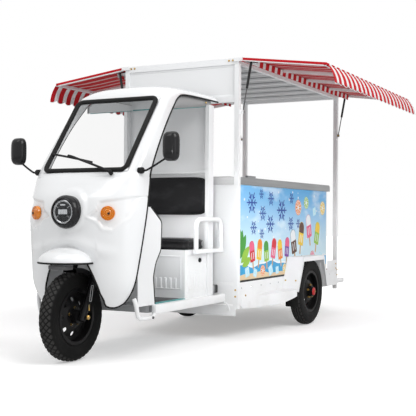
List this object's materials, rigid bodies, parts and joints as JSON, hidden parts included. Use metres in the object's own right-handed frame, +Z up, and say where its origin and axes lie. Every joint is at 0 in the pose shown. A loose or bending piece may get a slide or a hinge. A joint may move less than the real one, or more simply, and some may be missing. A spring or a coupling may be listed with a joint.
{
  "type": "ice cream tricycle",
  "caption": "Motor tricycle with an open-sided driver's cab in front and a roofed food cart behind, with a cold chest, steel counter and striped flap awnings on gas struts.",
  "frame": {"origin": "middle of the box that the whole vehicle stands in, on the ground between the wheels", "axes": "-Y is forward, +Z is up and +X is the vehicle's left"},
  "size_m": [2.3416, 3.6824, 1.957],
  "materials": {
    "body_white": "gloss",
    "painted_white": "gloss",
    "frame_black": "satin",
    "black_plastic": "matte",
    "black_rubber": "matte",
    "tyre": "matte",
    "clear_glass": "clear",
    "lamp_glass": "gloss",
    "amber_lens": "gloss",
    "red_lens": "gloss",
    "seat_cover": "satin",
    "stainless": "brushed",
    "chest_plastic": "satin",
    "panel_print": "satin print",
    "deck_board": "matte",
    "roof_metal": "satin",
    "awning_metal": "painted",
    "awning_fabric": "striped weave",
    "yellow_zinc": "plated"
  },
  "bodies": {
    "vehicle": {"cab_cowl": "body_white", "cab_pillars": "body_white", "cab_roof": "body_white", "nose_guard": "body_white", "leg_shield": "body_white", "back_wall": "body_white", "front_fascia": "body_white", "floor_pan": "painted_white", "seat_box": "painted_white", "arm_rails": "painted_white", "cart_posts": "painted_white", "roof_frame": "painted_white", "side_skirts": "painted_white", "mudguards": "painted_white", "chassis_frame": "frame_black", "rear_axle": "frame_black", "headlamp_housing": "black_plastic", "mirror_arms": "black_plastic", "battery_pack": "black_plastic", "edge_trim": "black_rubber", "windscreen_seal": "black_rubber", "windscreen_glass": "clear_glass", "headlamp_lens": "lamp_glass", "turn_signals": "amber_lens", "tail_lamps": "red_lens", "backrest": "seat_cover", "counter_top": "stainless", "chest_body": "chest_plastic", "side_panels": "panel_print", "bed_deck": "deck_board", "roof_sheet": "roof_metal", "frame_bolts": "yellow_zinc"},
    "awning_left": {"awning_frame_left": "awning_metal", "awning_cloth_left": "awning_fabric"},
    "awning_right": {"awning_frame_right": "awning_metal", "awning_cloth_right": "awning_fabric"},
    "valance_left": {"valance_left": "awning_fabric"},
    "valance_right": {"valance_right": "awning_fabric"},
    "strut_rods_left": {"strut_rods_left": "stainless"},
    "strut_rods_right": {"strut_rods_right": "stainless"},
    "strut_tubes_left": {"strut_tubes_left": "frame_black"},
    "strut_tubes_right": {"strut_tubes_right": "frame_black"},
    "mirror_left": {"mirror_head_left": "black_plastic"},
    "mirror_right": {"mirror_head_right": "black_plastic"},
    "wiper": {"wiper": "black_plastic"},
    "seat": {"seat_cushion": "seat_cover"},
    "chest_lid": {"chest_lid": "stainless"},
    "steering": {"fork_crown": "frame_black", "handlebar": "frame_black"},
    "throttle": {"throttle_grip": "black_rubber"},
    "brake_lever": {"brake_lever": "black_plastic"},
    "fork_legs": {"fork_legs": "frame_black", "front_mudguard": "black_plastic"},
    "front_wheel": {"front_rim": "frame_black", "front_tyre": "tyre"},
    "rear_wheel_left": {"rear_rim_left": "frame_black", "rear_tyre_left": "tyre"},
    "rear_wheel_right": {"rear_rim_right": "frame_black", "rear_tyre_right": "tyre"},
    "brake_pedal": {"brake_pedal": "frame_black"}
  },
  "joints": [
    {"name": "awning_hinge_left", "type": "hinge", "parent": "vehicle", "child": "awning_left", "pos_m": [0.488, 0.66125, 1.943], "axis": [0, 1, 0], "range_deg": [0, 82.7], "stiffness_Nm_per_rad": 15, "springref_deg": -126.05},
    {"name": "valance_hang_left", "type": "hinge", "parent": "awning_left", "child": "valance_left", "pos_m": [1.11597, 0.66125, 1.86255], "axis": [0, 1, 0], "range_deg": [-65, 0]},
    {"name": "strut_pivot_left", "type": "hinge", "parent": "vehicle", "child": "strut_rods_left", "pos_m": [0.484, 0.66125, 1.582], "axis": [0, 1, 0], "range_deg": [-9.6, 0]},
    {"name": "strut_slide_left", "type": "slide", "parent": "strut_rods_left", "child": "strut_tubes_left", "axis": [0.1769, 0, 0.9842], "range_m": [-0.059, 0]},
    {"name": "mirror_swivel_left", "type": "hinge", "parent": "vehicle", "child": "mirror_left", "pos_m": [0.548, -1.41075, 1.262], "axis": [0, 0, 1], "range_deg": [-25, 25]},
    {"name": "awning_hinge_right", "type": "hinge", "parent": "vehicle", "child": "awning_right", "pos_m": [-0.488, 0.66125, 1.943], "axis": [0, -1, 0], "range_deg": [0, 82.7], "stiffness_Nm_per_rad": 15, "springref_deg": -126.05},
    {"name": "valance_hang_right", "type": "hinge", "parent": "awning_right", "child": "valance_right", "pos_m": [-1.11597, 0.66125, 1.86255], "axis": [0, -1, 0], "range_deg": [-65, 0]},
    {"name": "strut_pivot_right", "type": "hinge", "parent": "vehicle", "child": "strut_rods_right", "pos_m": [-0.484, 0.66125, 1.582], "axis": [0, -1, 0], "range_deg": [-9.6, 0]},
    {"name": "strut_slide_right", "type": "slide", "parent": "strut_rods_right", "child": "strut_tubes_right", "axis": [-0.1769, 0, 0.9842], "range_m": [-0.059, 0]},
    {"name": "mirror_swivel_right", "type": "hinge", "parent": "vehicle", "child": "mirror_right", "pos_m": [-0.548, -1.41075, 1.262], "axis": [0, 0, -1], "range_deg": [-25, 25]},
    {"name": "wiper_sweep", "type": "hinge", "parent": "vehicle", "child": "wiper", "pos_m": [0.218, -1.49306, 1.09873], "axis": [0, 0.8028, -0.5963], "range_deg": [0, 75]},
    {"name": "seat_hinge", "type": "hinge", "parent": "vehicle", "child": "seat", "pos_m": [0, -0.82575, 0.6353], "axis": [1, 0, 0], "range_deg": [0, 80]},
    {"name": "lid_hinge", "type": "hinge", "parent": "vehicle", "child": "chest_lid", "pos_m": [-0.324, 0.27025, 1.143], "axis": [0, -1, 0], "range_deg": [0, 85]},
    {"name": "steering_turn", "type": "hinge", "parent": "vehicle", "child": "steering", "pos_m": [0, -1.53375, 0.2625], "axis": [0, 0.4384, 0.8988], "range_deg": [-35, 35]},
    {"name": "throttle_twist", "type": "hinge", "parent": "steering", "child": "throttle", "pos_m": [-0.2, -1.20234, 0.94199], "axis": [-1, 0, 0], "range_deg": [0, 70], "stiffness_Nm_per_rad": 0.15},
    {"name": "brake_lever_pull", "type": "hinge", "parent": "steering", "child": "brake_lever", "pos_m": [-0.118, -1.25254, 0.97593], "axis": [0, -0.4384, -0.8988], "range_deg": [0, 15], "stiffness_Nm_per_rad": 2},
    {"name": "fork_travel", "type": "slide", "parent": "steering", "child": "fork_legs", "axis": [0, 0.4384, 0.8988], "range_m": [0, 0.03], "stiffness_N_per_m": 9000, "springref_m": -0.02},
    {"name": "front_wheel_spin", "type": "hinge", "parent": "fork_legs", "child": "front_wheel", "pos_m": [0, -1.57875, 0.2625], "axis": [1, 0, 0], "continuous": true},
    {"name": "rear_wheel_spin_left", "type": "hinge", "parent": "vehicle", "child": "rear_wheel_left", "pos_m": [0.54, 0.74625, 0.2625], "axis": [1, 0, 0], "continuous": true},
    {"name": "rear_wheel_spin_right", "type": "hinge", "parent": "vehicle", "child": "rear_wheel_right", "pos_m": [-0.54, 0.74625, 0.2625], "axis": [1, 0, 0], "continuous": true},
    {"name": "brake_pedal_press", "type": "hinge", "parent": "vehicle", "child": "brake_pedal", "pos_m": [-0.17, -1.15875, 0.34], "axis": [1, 0, 0], "range_deg": [0, 15], "stiffness_Nm_per_rad": 20}
  ],
  "couplings": [
    {"joint": "valance_hang_left", "follows": "awning_hinge_left", "ratio": -0.782},
    {"joint": "strut_pivot_left", "follows": "awning_hinge_left", "ratio": -0.114},
    {"joint": "strut_slide_left", "follows": "awning_hinge_left", "m_per_rad": -0.0402},
    {"joint": "valance_hang_right", "follows": "awning_hinge_right", "ratio": -0.782},
    {"joint": "strut_pivot_right", "follows": "awning_hinge_right", "ratio": -0.114},
    {"joint": "strut_slide_right", "follows": "awning_hinge_right", "m_per_rad": -0.0402}
  ]
}
